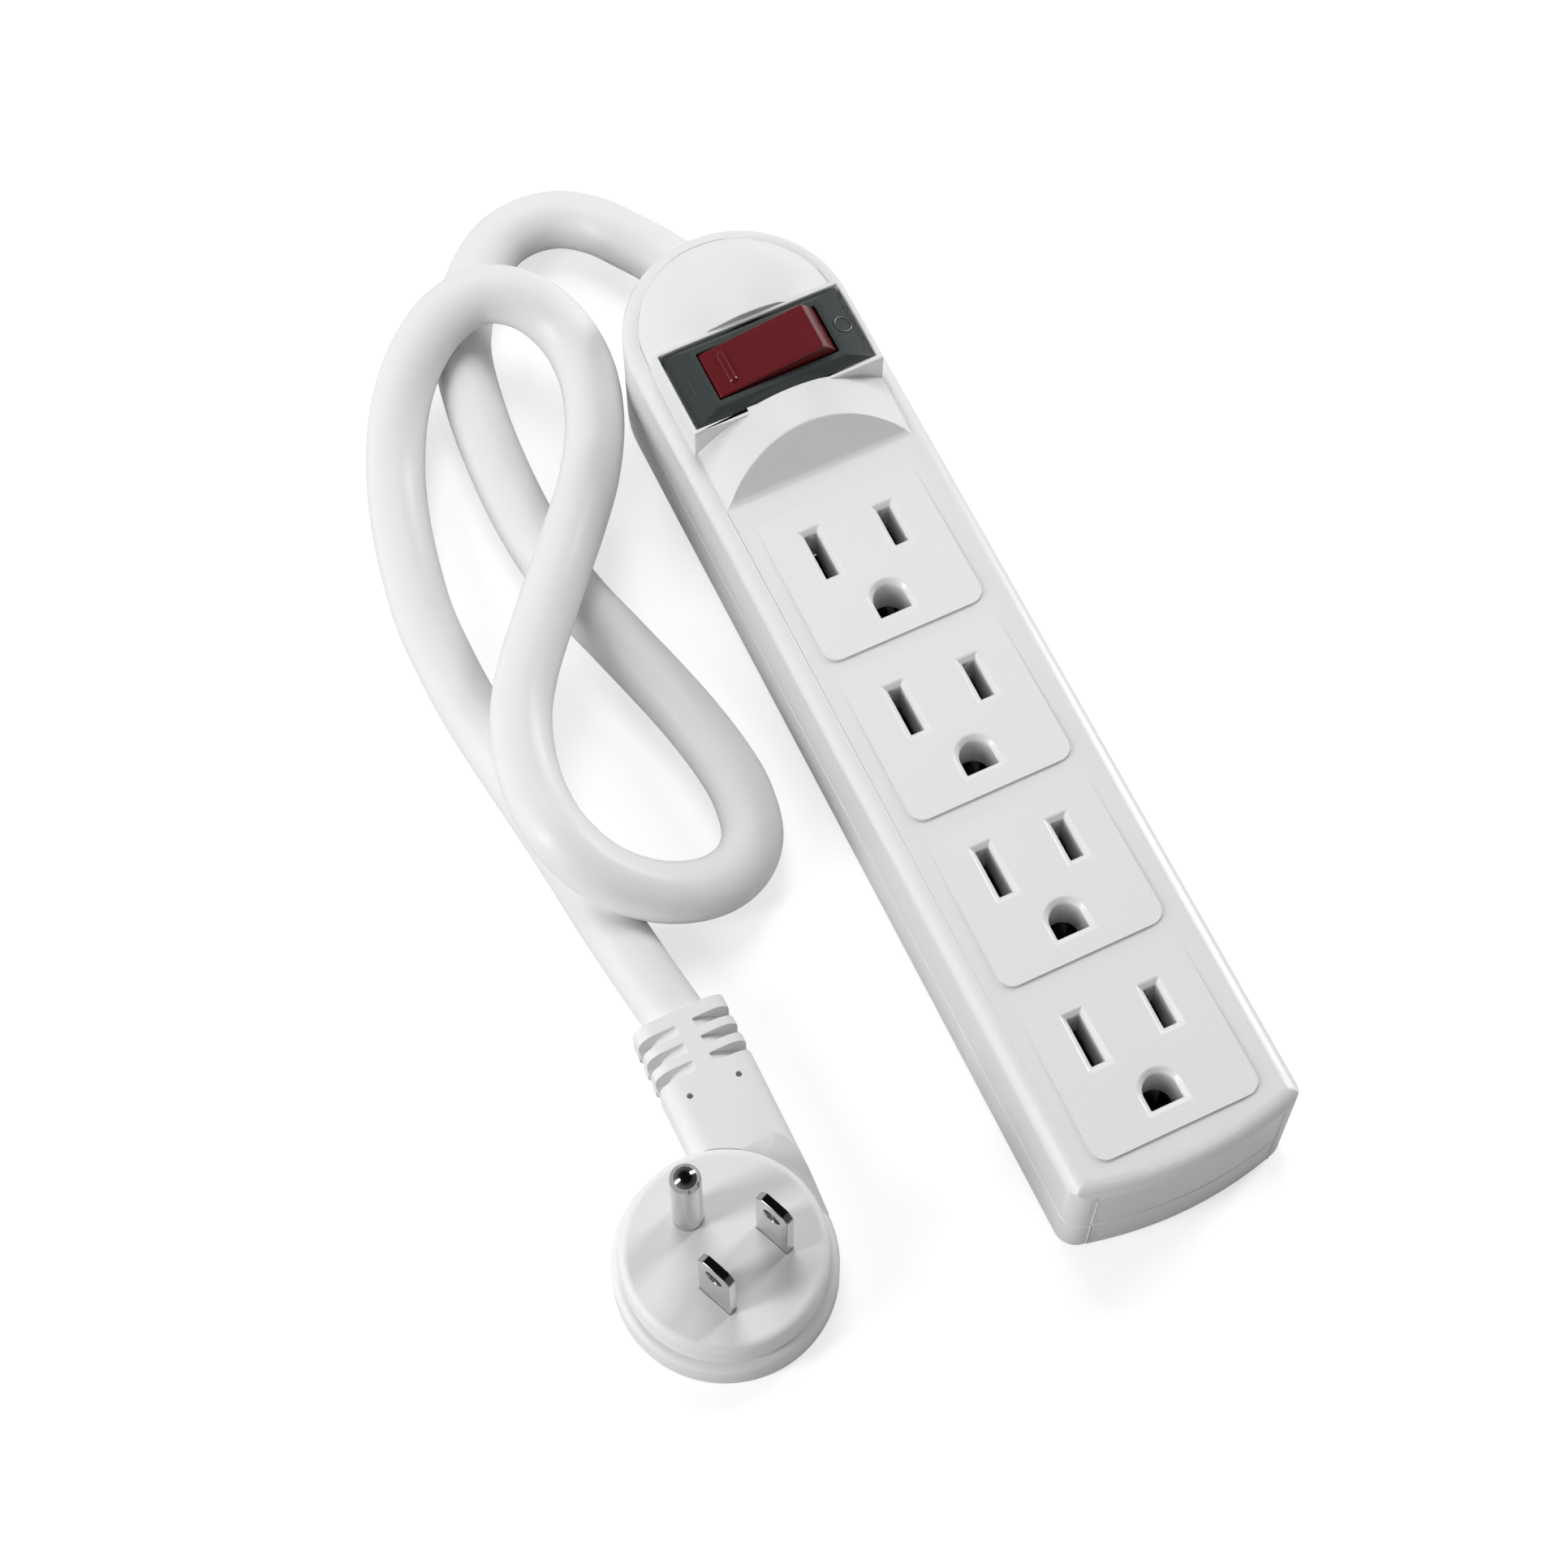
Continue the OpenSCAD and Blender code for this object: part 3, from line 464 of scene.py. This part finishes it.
def foldedFaces(work):
    # faces whose own triangles cover more than the face does, which is what a badly joined ring does
    covered = {}
    for corners in work.calc_loop_triangles():
        a, b, c = (loop.vert.co for loop in corners)
        face = corners[0].face
        covered[face] = covered.get(face, 0.0) + (b - a).cross(c - a).length / 2
    return [face for face, area in covered.items() if area > face.calc_area() * 1.002 + 1e-10]


def joinedFlats(source):
    # flat triangles joined into whole faces; the points of any ring that won't join are held, and it is tried again
    held = set()
    for attempt in range(roundFacts["tries"]):
        work = source.copy()
        free = {v for v in work.verts if tuple(v.co) not in held}
        edges = [e for e in work.edges if e.verts[0] in free or e.verts[1] in free]
        bmesh.ops.dissolve_limit(work, angle_limit=math.radians(roundFacts["flatAngle"]),
                                 verts=[v for v in work.verts if v in free], edges=edges)
        folded = foldedFaces(work)
        if not folded:
            source.free()
            return work
        held.update(tuple(v.co) for face in folded for v in face.verts)
        work.free()
    return source


def roundedNode(node, material, width, clamp=False, keepCrisp=None):
    # a merged copy of a CAD node; every sharp edge is marked, and a bevel rounds it off by width
    source = frame["nodes"][node]
    work = bmesh.new()
    work.from_mesh(source.data)
    bmesh.ops.remove_doubles(work, verts=work.verts, dist=roundFacts["weld"])
    work = joinedFlats(work)
    weight = work.edges.layers.float.new("bevel_weight_edge")
    for edge in work.edges:
        if len(edge.link_faces) == 2 and edge.calc_face_angle(0) > math.radians(roundFacts["sharpAngle"]):
            share = 1.0 if keepCrisp is None else keepCrisp(edge)
            edge[weight] = share
            edge.smooth = share > 0
    mesh = bpy.data.meshes.new(node + "_shell")
    work.to_mesh(mesh)
    work.free()
    mesh.polygons.foreach_set("use_smooth", np.ones(len(mesh.polygons), bool))
    piece = bpy.data.objects.new(node + "_shell", mesh)
    bpy.context.collection.objects.link(piece)
    bevel = piece.modifiers.new("roundEdges", "BEVEL")
    bevel.limit_method = "WEIGHT"
    bevel.width = width
    bevel.segments = roundFacts["segments"]
    bevel.use_clamp_overlap = clamp
    bevel.miter_outer = "MITER_SHARP"
    split = piece.modifiers.new("splitFaces", "TRIANGULATE")
    split.min_vertices = 5  # four-sided faces stay whole
    split.ngon_method = "BEAUTY"
    flat = piece.modifiers.new("flatFaces", "WEIGHTED_NORMAL")
    flat.mode = "FACE_AREA"
    flat.weight = roundFacts["normalWeight"]
    flat.keep_sharp = True
    mesh.materials.clear()
    mesh.materials.append(material)
    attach(piece, bodyOf(node))
    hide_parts(node)
    return piece


edgeFacts = {
    "hollowHalf": 17.8 * mm, "hollowNear": -85.0 * mm, "hollowTop": 23.6 * mm, "floorShelf": 1.5 * mm,
    "padTop": 25.35 * mm, "padBand": 0.5 * mm, "padHalf": 13.96 * mm,  # the outlet pads' own borders
    "slotAcross": (2.6 * mm, 9.5 * mm), "slotWidth": 6.0 * mm, "earthHalf": 4.2 * mm, "earthLength": 9.0 * mm,
    "mouldHoles": ((-62.4 * mm, -43.6 * mm), (-54.1 * mm, -43.6 * mm)), "mouldReach": 0.8 * mm, "neckTop": 9.0 * mm,
}


def middleOf(edge):
    return (edge.verts[0].co + edge.verts[1].co) / 2


def inHollow(place):
    # inside the covers' walls: within the straight sides, or within the round end's own circle
    headY = highStrip.y - highStrip.x
    if place.y < headY:
        return abs(place.x) < edgeFacts["hollowHalf"] and place.y > edgeFacts["hollowNear"]
    return math.hypot(place.x, place.y - headY) < edgeFacts["hollowHalf"]


def coverEdges(edge):
    # nothing inside the hollow is rounded, and the thin pad borders stay crisp
    a = middleOf(edge)
    if a.z < edgeFacts["hollowTop"] and inHollow(a):
        return 0.0
    onPad = abs(a.z - edgeFacts["padTop"]) < edgeFacts["padBand"] and abs(a.x) < edgeFacts["padHalf"]
    inner, outer = edgeFacts["slotAcross"]
    width = abs(edge.verts[0].co.x - edge.verts[1].co.x)
    nearSlot = inner < abs(a.x) < outer and width < edgeFacts["slotWidth"]
    nearEarth = abs(a.x) < edgeFacts["earthHalf"] and edge.calc_length() < edgeFacts["earthLength"]
    return 0.0 if onPad and not nearSlot and not nearEarth else 1.0


def floorEdges(edge):
    # the lower cover: only edges on its outside are rounded
    a = middleOf(edge)
    return 0.0 if a.z > edgeFacts["floorShelf"] and inHollow(a) else 1.0


def plugEdges(edge):
    # the two small mould holes in the neck keep their crisp rims
    a = middleOf(edge)
    reach = min(math.hypot(a.x - x, a.y - y) for x, y in edgeFacts["mouldHoles"])
    return 0.0 if reach < edgeFacts["mouldReach"] and a.z > edgeFacts["neckTop"] else 1.0


shells = {
    "top_cover": roundedNode("top_cover", whitePlastic, 0.22 * mm, keepCrisp=coverEdges),
    "bottom_cover": roundedNode("bottom_cover", whitePlastic, 0.28 * mm, keepCrisp=floorEdges),
    "switch_case": roundedNode("switch_case", darkPlastic, 0.20 * mm),
    "rocker": roundedNode("rocker", redPlastic, 0.25 * mm),
    "plug_face": roundedNode("plug_face", whiteVinyl, 0.15 * mm),
    "plug_body": roundedNode("plug_body", whiteVinyl, 0.30 * mm, clamp=True, keepCrisp=plugEdges),
    "live_blade": roundedNode("live_blade", platedMetal, 0.18 * mm),
    "neutral_blade": roundedNode("neutral_blade", platedMetal, 0.18 * mm),
}
print("covers, switch and plug rounded")

plainNodes = {
    "housing_screws": zincSteel, "rocker_pin": zincSteel, "rocker_plunger": zincSteel, "rocker_spring": zincSteel,
    "contact_arm": stripBrass, "line_terminal": stripBrass, "load_terminal": stripBrass, "live_bus": stripBrass,
    "neutral_bus": stripBrass, "earth_bus": stripBrass, "live_wire": blackVinyl, "switched_wire": blackVinyl,
    "neutral_wire": whiteVinyl, "earth_wire": greenVinyl,
}
for nodeName, finish in plainNodes.items():
    meshData = frame["nodes"][nodeName].data
    meshData.materials.clear()
    meshData.materials.append(finish)
print("inner pieces finished")


cordFacts = {
    "diameter": 10.0 * mm,
    "spacing": 1.0 * mm,  # between its rings
    "sides": 40,
    "spanSteps": 12,
    "clearance": 0.06 * mm,  # it lies on the floor, not in it
    "exit": (0.0, 90.0, 8.0),
    # the route's points in millimetres, from the bushing to the plug's neck
    "route": [
        (0, 80, 8), (0, 86, 8), (0, 92, 8), (-2, 98, 7.5), (-5.5, 105, 6), (-9, 110.5, 5.2),
        (-14, 114.5, 5), (-20, 115.8, 5), (-26, 114.5, 5), (-32, 110, 5), (-37, 103.5, 5),
        (-40.5, 96, 5), (-42.5, 86, 5), (-43.5, 76, 5), (-43.8, 65, 5), (-43.2, 55, 5),
        (-41.5, 45, 5), (-39, 36, 5), (-36.2, 26, 5), (-34, 17, 5), (-32.5, 8, 5), (-32.3, 1, 5),
        (-34, -6, 5.3), (-38.5, -10.5, 6.2), (-45, -11.8, 7.6), (-52.5, -9.8, 10), (-59, -4.8, 13),
        (-62.7, 2.5, 15), (-63.6, 10, 15.2), (-62.6, 18, 15.2), (-60, 25.5, 15.2), (-56, 32, 15.2),
        (-50.3, 39, 15.2), (-44.3, 46, 15.2), (-38, 53.5, 14.2), (-31.5, 62.3, 12.4),
        (-26.3, 72, 11.3), (-23.7, 81.5, 11.3), (-24.4, 90, 12.6), (-28.3, 96.6, 14.5),
        (-34.5, 100.2, 15.2), (-41.6, 99.5, 14.2), (-48.5, 96, 11.4), (-54.4, 90, 8.2),
        (-59, 81.8, 5.8), (-62.3, 72.5, 5), (-64.6, 62.5, 5), (-66, 53, 5), (-66.2, 43, 5),
        (-65.8, 34, 5), (-64.7, 24, 5), (-63.3, 13, 5), (-62, 2, 5), (-60.9, -9, 5.1),
        (-59.6, -20, 5.6), (-58.4, -29, 6), (-58.25, -36, 6),
    ],
}


def unrollCord(mesh, rings, sides):
    # its map in metres: the first value runs along the cord, the second is the angle times the radius
    corner = np.empty(len(mesh.loops), int)
    mesh.loops.foreach_get("vertex_index", corner)
    count = 4 * (rings - 1) * sides
    ring = (corner[:count] // sides).astype(float)
    column = (corner[:count] % sides).reshape(-1, 4)
    across = np.ptp(column, axis=1) > sides / 2
    column[across] = np.where(column[across] == 0, sides, column[across])
    turn = column.reshape(-1) * (math.pi * cordFacts["diameter"] / sides)
    flat = np.zeros((len(corner), 2))
    flat[:count] = np.stack([ring * cordFacts["spacing"], turn], 1)
    mesh.uv_layers.new(name="along").data.foreach_set("uv", flat.ravel())


def buildCord():
    radius, sides = cordFacts["diameter"] / 2, cordFacts["sides"]
    path = evenPath(smoothPath(cordFacts["route"], cordFacts["spanSteps"]) * mm, cordFacts["spacing"])
    path[:, 2] = np.maximum(path[:, 2], radius + cordFacts["clearance"])
    radii = np.full(len(path), radius)
    rings = tubeRings(path, radii, sides)
    points = np.vstack([rings.reshape(-1, 3), path[:1], path[-1:]])
    body = gridFaces(len(path), sides, wrapCols=True, flip=True).tolist()
    first, last = len(path) * sides, len(path) * sides + 1
    tail = (len(path) - 1) * sides
    caps = [(first, (k + 1) % sides, k) for k in range(sides)]
    caps += [(last, tail + k, tail + (k + 1) % sides) for k in range(sides)]
    cord = addPiece("cord_jacket", points, body + caps)
    unrollCord(cord.data, len(path), sides)
    return cord, path


cord, cordPath = buildCord()
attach(cord, "housing")
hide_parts("cord")
cord.data.materials.append(cordVinyl)


rockerFacts = {
    "pivot": (0.0, 59.6, 26.8),
    "tilt": -8.7,
    "top": 7.3,  # height of the flat top above the pivot
    "barPlace": (-6.2, 0.0),
    "barLength": 6.3,
    "barWidth": 1.5,
    "barRise": 0.6,
}


def stadium(length, width, count):
    # the outline of a bar with round ends, each point with its outward direction: the angle's sine picks the end
    angle = np.linspace(0, 2 * math.pi, count, endpoint=False)
    outward = np.stack([np.cos(angle), np.sin(angle)], 1)
    centre = np.stack([np.zeros(count), np.where(outward[:, 1] >= 0, 0.5, -0.5) * (length - width)], 1)
    return centre, outward


def domedBar(length, width, rise, count=64, steps=10, foot=0.3):
    # a bar with round ends, its height a quarter ellipse from the rim inwards, on a foot that sinks into the surface
    centre, outward = stadium(length, width, count)
    inward = np.linspace(0, math.pi / 2, steps)
    reach = (width / 2 * np.cos(inward))[:, None, None]
    plan = centre[None] + outward[None] * reach
    height = np.broadcast_to((rise * np.sin(inward))[:, None], plan.shape[:2])
    skin = np.concatenate([plan, height[..., None]], -1)
    base = np.concatenate([skin[:1, :, :2], np.full((1, count, 1), -foot)], -1)
    rings = np.concatenate([base, skin])
    faces = gridFaces(len(rings), count, wrapCols=True, flip=True).tolist()
    faces.append(list(range(count))[::-1])
    return rings.reshape(-1, 3), faces


def onRocker(points):
    # points drawn level above the pivot, in millimetres, leaned with the rocker and set in place in metres
    lean = math.radians(rockerFacts["tilt"])
    x, y, z = points[:, 0], points[:, 1], points[:, 2]
    turned = np.stack([x * math.cos(lean) + z * math.sin(lean), y, z * math.cos(lean) - x * math.sin(lean)], 1)
    return (turned + np.array(rockerFacts["pivot"])) * mm


def buildRockerBar():
    points, faces = domedBar(rockerFacts["barLength"], rockerFacts["barWidth"], rockerFacts["barRise"])
    points = points + np.array([*rockerFacts["barPlace"], rockerFacts["top"]])
    bar = addPiece("rocker_bar", onRocker(points), faces)
    bar.data.materials.append(redPlastic)
    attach(bar, "rocker")
    return bar


buildRockerBar()

markFacts = {
    "slopeOuter": (15.7, 30.9),  # the sloping margin's outer and inner edges, across and up
    "slopeInner": (11.4, 32.5),
    "centreY": 59.6,
    "rise": 0.16,
    "ringRadius": 1.45,
    "ringThickness": 0.26,
    "ringFlatness": 0.6,
    "ringSteps": (64, 12),
    "lineLength": 3.4,
    "lineWidth": 0.55,
    "lineSteps": (48, 6),
}


def onSlope(points, side):
    # a flat drawing laid on the sloping margin at that side: x runs up the slope, z stands square to it
    outer, inner = np.array(markFacts["slopeOuter"]), np.array(markFacts["slopeInner"])
    along = (inner - outer) / np.linalg.norm(inner - outer)
    middle = (outer + inner) / 2
    across = middle[0] + points[:, 0] * along[0] + points[:, 2] * along[1]
    up = middle[1] + points[:, 0] * along[1] - points[:, 2] * along[0]
    return np.stack([side * across, points[:, 1] + markFacts["centreY"], up], 1) * mm


def buildMarks():
    line, lineFaces = domedBar(markFacts["lineLength"], markFacts["lineWidth"], markFacts["rise"],
                               *markFacts["lineSteps"])
    lineMark = addPiece("on_mark", onSlope(line, -1.0), lineFaces)
    # the ring's section is a circle carried round a larger one, pressed flatter
    rows, cols = markFacts["ringSteps"]
    big, small = np.meshgrid(np.linspace(0, 2 * math.pi, rows, endpoint=False),
                             np.linspace(0, 2 * math.pi, cols, endpoint=False), indexing="ij")
    thick = markFacts["ringThickness"]
    radius = markFacts["ringRadius"] + thick * np.cos(small)
    height = thick * markFacts["ringFlatness"] * np.sin(small)
    ring = np.stack([radius * np.cos(big), radius * np.sin(big), height], -1)
    ringMark = addPiece("off_mark", onSlope(ring.reshape(-1, 3), 1.0), gridFaces(rows, cols, True, True, flip=True))
    for mark in (lineMark, ringMark):
        mark.data.materials.append(darkPlastic)
        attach(mark, "housing")


buildMarks()
print("rocker bar and switch marks built")


reliefFacts = {
    "start": (0.0, 76.0, 8.0),
    # the sleeve's outline: distance along the strip, radius
    "outline": [
        (76.0, 5.02), (76.0, 5.6), (76.3, 5.9), (85.3, 5.9), (85.4, 6.1), (85.4, 6.7), (85.7, 7.0), (86.9, 7.0),
        (87.2, 6.7), (87.2, 6.25), (90.2, 6.2), (90.6, 6.1), (91.0, 5.75), (91.5, 5.7), (91.9, 5.95), (92.3, 5.9),
        (92.7, 5.6), (93.2, 5.55), (93.6, 5.75), (94.1, 5.7), (94.6, 5.45), (95.3, 5.38), (95.85, 5.3),
        (96.0, 5.15), (96.0, 5.02),
    ],
    "bore": (5.02, 12),  # the inside's radius, and how many rings it has
    "sides": 72,
    "insidePoints": 4,
    "cordPoints": 24,  # how many of the cord's own points it follows
}


def bentSleeve(path, outline, sides):
    # each outline point is a ring at that distance along the path, square to the path's own direction there
    run = np.concatenate([[0.0], np.cumsum(np.linalg.norm(np.diff(path, axis=0), axis=1))])
    ahead = np.gradient(path, axis=0)
    at = outline[:, 0] - outline[0, 0]
    centre = np.stack([np.interp(at, run, path[:, k]) for k in range(3)], 1)
    along = np.stack([np.interp(at, run, ahead[:, k]) for k in range(3)], 1)
    along /= np.linalg.norm(along, axis=1, keepdims=True)
    side = np.cross(np.array([0.0, 0.0, 1.0]), along)
    side /= np.linalg.norm(side, axis=1, keepdims=True)
    up = np.cross(along, side)
    angle = np.linspace(0, 2 * math.pi, sides, endpoint=False)[None, :, None]
    circle = side[:, None] * np.cos(angle) + up[:, None] * np.sin(angle)
    rings = centre[:, None] + outline[:, 1][:, None, None] * circle
    return rings.reshape(-1, 3), gridFaces(len(outline), sides, wrapRows=True, wrapCols=True, flip=True)


def buildRelief():
    # the sleeve starts inside the cover and bends with the cord that it holds
    start = np.array(reliefFacts["start"]) * mm
    inside = np.linspace(start, cordPath[0], reliefFacts["insidePoints"], endpoint=False)
    path = np.vstack([inside, cordPath[:reliefFacts["cordPoints"]]])
    radius, count = reliefFacts["bore"]
    outer = np.array(reliefFacts["outline"])
    bore = np.stack([np.linspace(outer[-1, 0], outer[0, 0], count + 2)[1:-1], np.full(count, radius)], 1)
    points, faces = bentSleeve(path, np.vstack([outer, bore]) * mm, reliefFacts["sides"])
    relief = addPiece("strain_relief", points, faces)
    relief.data.materials.append(whiteVinyl)
    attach(relief, "housing")
    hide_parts("cord_bushing")
    return relief


relief = buildRelief()
print("strain relief built")


pinLow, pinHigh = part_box("earth_pin")
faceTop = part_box("plug_face")[1].z
pinFacts = {"radius": (pinHigh.x - pinLow.x) / 2, "root": 2.0 * mm, "lip": 0.1 * mm, "sides": 64, "domeSteps": 20,
            "shankSteps": 6, "shankEnds": (1.0 * mm, 0.5 * mm)}


def turnedPiece(outline, sides):
    # a profile of (height, radius) points carried round an upright axis
    angle = np.linspace(0, 2 * math.pi, sides, endpoint=False)
    height = np.broadcast_to(outline[:, :1], (len(outline), sides))
    points = np.stack([outline[:, 1:] * np.cos(angle), outline[:, 1:] * np.sin(angle), height], -1)
    return points.reshape(-1, 3), gridFaces(len(outline), sides, wrapCols=True, flip=True)


def buildEarthPin():
    # a round pin: narrow root in the plug, a tiny eased shoulder, a straight shank and a half-sphere tip
    radius, root, lip = pinFacts["radius"], pinFacts["root"], pinFacts["lip"]
    sides, (below, above) = pinFacts["sides"], pinFacts["shankEnds"]
    bend = np.linspace(0, math.pi / 2, pinFacts["domeSteps"])[:-1]
    dome = np.stack([pinHigh.z - radius + radius * np.sin(bend), radius * np.cos(bend)], 1)
    shank = [(pinLow.z, root), (faceTop, root), (faceTop, radius - lip), (faceTop + lip, radius)]
    heights = np.linspace(faceTop + below, pinHigh.z - radius - above, pinFacts["shankSteps"])
    levels = [(z, radius) for z in heights]
    outline = np.array(shank + levels + dome.tolist())
    points, faces = turnedPiece(outline, sides)
    points = np.vstack([points, [[0, 0, pinHigh.z], [0, 0, pinLow.z]]])
    top, bottom, last = len(points) - 2, len(points) - 1, (len(outline) - 1) * sides
    faces = faces.tolist() + [(top, last + k, last + (k + 1) % sides) for k in range(sides)]
    faces += [(bottom, (k + 1) % sides, k) for k in range(sides)]
    points[:, :2] += np.array([(pinLow.x + pinHigh.x) / 2, (pinLow.y + pinHigh.y) / 2])
    pin = addPiece("earth_pin_turned", points, faces)
    pin.data.materials.append(platedMetal)
    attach(pin, "housing")
    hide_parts("earth_pin")
    return pin


earthPin = buildEarthPin()
print("earth pin built")


floorFacts = {"colour": (0.62, 0.62, 0.62), "glow": 0.62, "side": 6.0, "top": -0.2 * mm, "rough": 0.9, "shine": 0.1}


def addFloor():
    # a matt floor that glows a little to the camera alone, so it looks paler than the light it throws back
    material, nodes, links, shader, where = startMaterial("paleFloor")
    shader.inputs["Base Color"].default_value = (*floorFacts["colour"], 1)
    shader.inputs["Roughness"].default_value = floorFacts["rough"]
    shader.inputs["Specular IOR Level"].default_value = floorFacts["shine"]
    shader.inputs["Emission Color"].default_value = (1, 1, 1, 1)
    ray = nodes.new("ShaderNodeLightPath")
    glow = nodes.new("ShaderNodeMath")
    glow.operation = "MULTIPLY"
    glow.inputs[1].default_value = floorFacts["glow"]
    links.new(ray.outputs["Is Camera Ray"], glow.inputs[0])
    links.new(glow.outputs[0], shader.inputs["Emission Strength"])
    side = np.linspace(-0.5, 0.5, 3) * floorFacts["side"]
    x, y = np.meshgrid(side, side, indexing="ij")
    floor = addPiece("paleFloor", np.stack([x, y, np.full_like(x, floorFacts["top"])], -1), gridFaces(3, 3))
    floor.data.materials.append(material)


addFloor()
